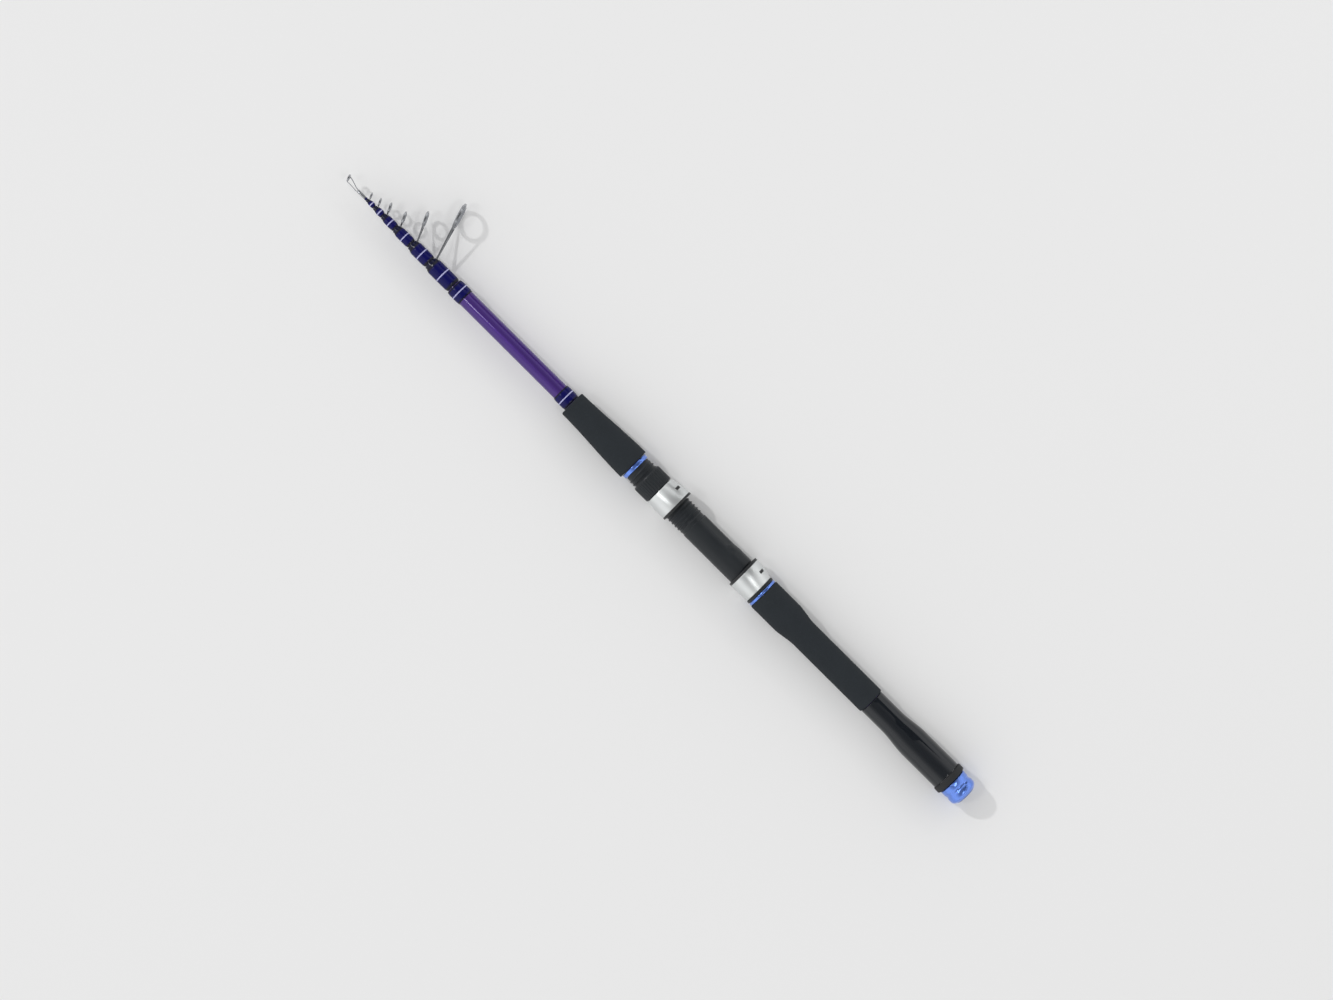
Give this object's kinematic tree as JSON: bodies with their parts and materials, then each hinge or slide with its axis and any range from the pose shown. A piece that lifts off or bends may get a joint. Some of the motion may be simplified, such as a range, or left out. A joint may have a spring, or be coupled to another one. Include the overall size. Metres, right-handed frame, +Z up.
{
  "type": "telescopic fishing rod",
  "caption": "Telescopic fishing rod with nesting tapered tubes, single-foot line guides, a screw-lock reel seat, foam grips and a screw-on butt cap.",
  "frame": {"origin": "middle of the butt's flat end face, on the rod's axis", "axes": "+X along the rod from butt to tip, +Z up from the floor the rod lies on, line guides towards -Y"},
  "size_m": [0.6303, 0.0613, 0.0268],
  "materials": {
    "purple_blank": "clear-coated metallic purple paint on carbon tube",
    "dark_blank": "gloss dark blue carbon tube",
    "navy_thread": "navy winding thread under clear varnish",
    "silver_band": "pale silver winding thread under clear varnish",
    "polished_steel": "polished stainless steel",
    "guide_ring": "polished grey ceramic",
    "grip_foam": "fine-grained matte foam",
    "seat_plastic": "satin black moulding",
    "liner_plastic": "matte black moulding",
    "silver_hood": "bright satin nickel plate",
    "blue_anodised": "blue anodised, turned",
    "black_gloss": "gloss black lacquer",
    "black_rubber": "matte black rubber",
    "plain_alloy": "plain turned"
  },
  "bodies": {
    "butt": {"butt_section": "purple_blank", "wrap_1_rear": "navy_thread", "wrap_1_front": "navy_thread", "band_1_rear": "silver_band", "band_1_front": "silver_band", "fore_grip": "grip_foam", "rear_grip": "grip_foam", "front_check": "blue_anodised", "rear_check": "blue_anodised", "hood_collar": "seat_plastic", "reel_seat_barrel": "seat_plastic", "rear_arbor": "liner_plastic", "front_arbor": "liner_plastic", "fixed_hood_shell": "silver_hood", "fixed_hood_liner": "liner_plastic", "butt_sleeve": "black_gloss", "butt_ring": "black_rubber", "threaded_insert": "plain_alloy"},
    "section_2": {"section_2": "dark_blank", "wrap_2": "navy_thread", "band_2": "silver_band", "guide_frame_2": "polished_steel", "guide_ring_2": "guide_ring"},
    "section_3": {"section_3": "dark_blank", "wrap_3": "navy_thread", "band_3": "silver_band", "guide_frame_3": "polished_steel", "guide_ring_3": "guide_ring"},
    "section_4": {"section_4": "dark_blank", "wrap_4": "navy_thread", "band_4": "silver_band", "guide_frame_4": "polished_steel", "guide_ring_4": "guide_ring"},
    "section_5": {"section_5": "dark_blank", "wrap_5": "navy_thread", "band_5": "silver_band", "guide_frame_5": "polished_steel", "guide_ring_5": "guide_ring"},
    "section_6": {"section_6": "dark_blank", "wrap_6": "navy_thread", "band_6": "silver_band", "guide_frame_6": "polished_steel", "guide_ring_6": "guide_ring"},
    "section_7": {"section_7": "dark_blank", "wrap_7": "navy_thread", "band_7": "silver_band", "guide_frame_7": "polished_steel", "guide_ring_7": "guide_ring"},
    "section_8": {"section_8": "dark_blank", "tip_wrap": "navy_thread", "tip_guide_frame": "polished_steel", "tip_guide_ring": "guide_ring"},
    "sliding_hood": {"sliding_hood_shell": "silver_hood", "sliding_hood_liner": "liner_plastic"},
    "locking_nut": {"locking_nut": "seat_plastic"},
    "cap_seal": {"cap_sealing_ring": "black_rubber"},
    "butt_cap": {"butt_cap": "blue_anodised", "cap_pad": "black_rubber", "end_disc": "black_rubber"}
  },
  "joints": [
    {"name": "section_2_slide", "type": "slide", "parent": "butt", "child": "section_2", "axis": [1, 0, 0], "range_m": [0, 0.4247]},
    {"name": "section_3_slide", "type": "slide", "parent": "section_2", "child": "section_3", "axis": [1, 0, 0], "range_m": [0, 0.4487]},
    {"name": "section_4_slide", "type": "slide", "parent": "section_3", "child": "section_4", "axis": [1, 0, 0], "range_m": [0, 0.4674]},
    {"name": "section_5_slide", "type": "slide", "parent": "section_4", "child": "section_5", "axis": [1, 0, 0], "range_m": [0, 0.4836]},
    {"name": "section_6_slide", "type": "slide", "parent": "section_5", "child": "section_6", "axis": [1, 0, 0], "range_m": [0, 0.4965]},
    {"name": "section_7_slide", "type": "slide", "parent": "section_6", "child": "section_7", "axis": [1, 0, 0], "range_m": [0, 0.5052]},
    {"name": "section_8_slide", "type": "slide", "parent": "section_7", "child": "section_8", "axis": [1, 0, 0], "range_m": [0, 0.5131]},
    {"name": "hood_slide", "type": "slide", "parent": "butt", "child": "sliding_hood", "axis": [1, 0, 0], "range_m": [-0.0301, 0.0076]},
    {"name": "nut_turn", "type": "hinge", "parent": "sliding_hood", "child": "locking_nut", "pos_m": [0.3118, 0, 0], "axis": [1, 0, 0], "range_deg": [-3600, 900]},
    {"name": "cap_slide", "type": "slide", "parent": "butt", "child": "cap_seal", "axis": [-1, 0, 0], "range_m": [0, 0.0141]},
    {"name": "cap_turn", "type": "hinge", "parent": "cap_seal", "child": "butt_cap", "pos_m": [0.0146, 0, 0], "axis": [-1, 0, 0], "range_deg": [0, 2520]}
  ],
  "couplings": [
    {"joint": "hood_slide", "follows": "nut_turn", "m_per_rad": 0.00047746},
    {"joint": "cap_slide", "follows": "cap_turn", "m_per_rad": 0.00031831}
  ]
}
